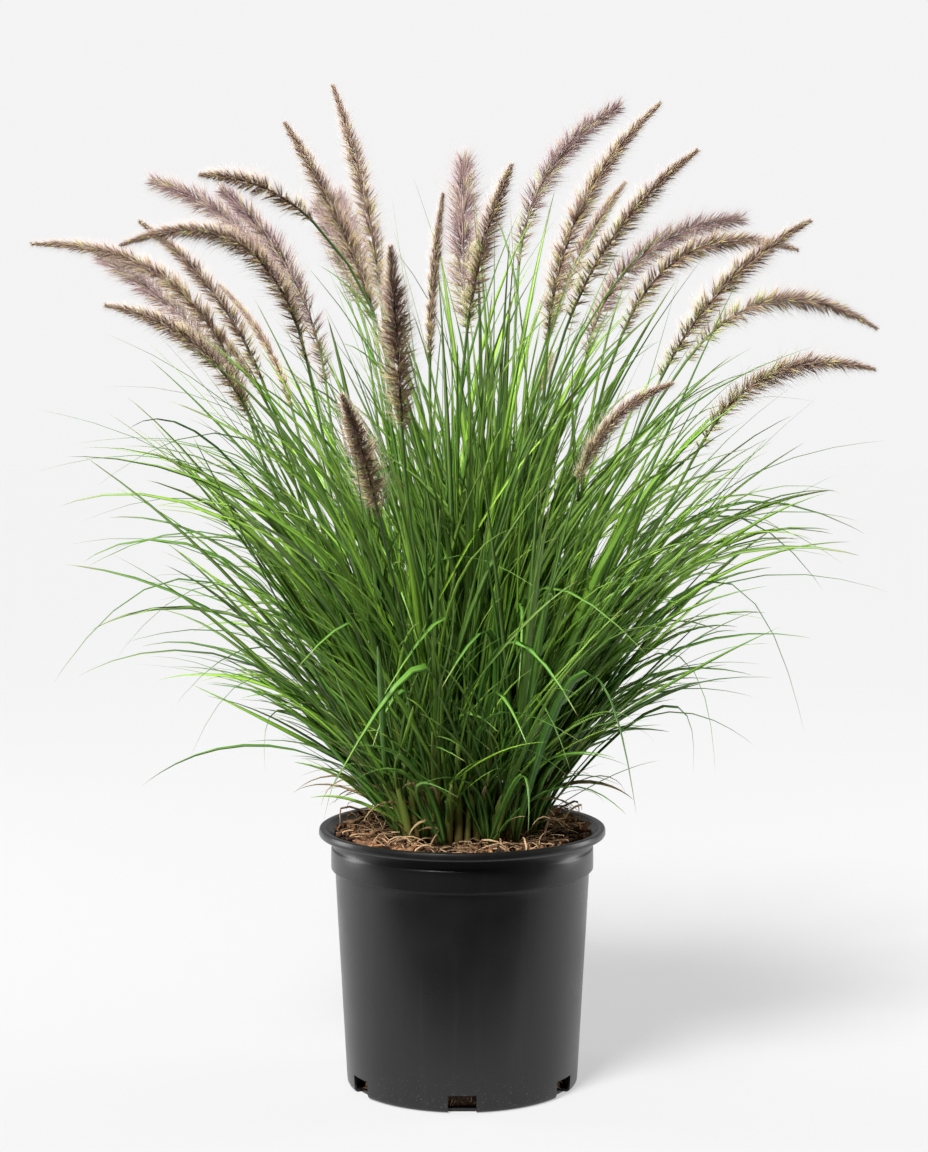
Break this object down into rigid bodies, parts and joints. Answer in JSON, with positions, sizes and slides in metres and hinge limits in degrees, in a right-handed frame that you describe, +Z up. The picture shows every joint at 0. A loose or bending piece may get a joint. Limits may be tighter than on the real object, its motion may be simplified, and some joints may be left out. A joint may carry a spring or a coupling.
{
  "type": "potted fountain grass",
  "caption": "Clump of arching ornamental grass with purple-brown bottle-brush plumes, growing in a plain round black nursery pot",
  "frame": {"origin": "middle of the pot's flat foot, on the surface that it stands on", "axes": "+Z up, longest extent; -Y the side that faces the viewer in the picture; +X to the viewer's right"},
  "size_m": [0.83, 0.7, 0.973],
  "materials": {
    "pot_plastic": "satin",
    "potting_mix": "rough, dry bark",
    "grass_leaf": "satin",
    "plume": "soft bristles"
  },
  "bodies": {
    "root": {"nursery_pot": "pot_plastic", "potting_mix": "potting_mix", "flower_stem_01": "plume", "flower_stem_02": "plume", "flower_stem_03": "plume", "flower_stem_04": "plume", "flower_stem_05": "plume", "flower_stem_06": "plume", "flower_stem_07": "plume", "flower_stem_08": "plume", "flower_stem_09": "plume", "flower_stem_10": "plume", "flower_stem_11": "plume", "flower_stem_12": "plume", "flower_stem_13": "plume", "flower_stem_14": "plume", "flower_stem_15": "plume", "flower_stem_16": "plume", "flower_stem_17": "plume", "flower_stem_18": "plume", "flower_stem_19": "plume", "flower_stem_20": "plume", "flower_stem_21": "plume", "flower_stem_22": "plume", "flower_stem_23": "plume", "flower_stem_24": "plume", "flower_stem_25": "plume", "flower_stem_26": "plume", "flower_stem_27": "plume", "flower_stem_28": "plume", "flower_stem_29": "plume", "flower_stem_30": "plume", "leaf_shoot_01": "grass_leaf", "leaf_shoot_02": "grass_leaf", "leaf_shoot_03": "grass_leaf", "leaf_shoot_04": "grass_leaf", "leaf_shoot_05": "grass_leaf", "leaf_shoot_06": "grass_leaf", "leaf_shoot_07": "grass_leaf", "leaf_shoot_08": "grass_leaf", "leaf_shoot_09": "grass_leaf", "leaf_shoot_10": "grass_leaf", "leaf_shoot_11": "grass_leaf", "leaf_shoot_12": "grass_leaf", "leaf_shoot_13": "grass_leaf", "leaf_shoot_14": "grass_leaf", "leaf_shoot_15": "grass_leaf", "leaf_shoot_16": "grass_leaf", "leaf_shoot_17": "grass_leaf", "leaf_shoot_18": "grass_leaf", "leaf_shoot_19": "grass_leaf", "leaf_shoot_20": "grass_leaf", "leaf_shoot_21": "grass_leaf", "leaf_shoot_22": "grass_leaf", "leaf_shoot_23": "grass_leaf", "leaf_shoot_24": "grass_leaf", "leaf_shoot_25": "grass_leaf", "leaf_shoot_26": "grass_leaf", "leaf_shoot_27": "grass_leaf"}
  },
  "joints": []
}
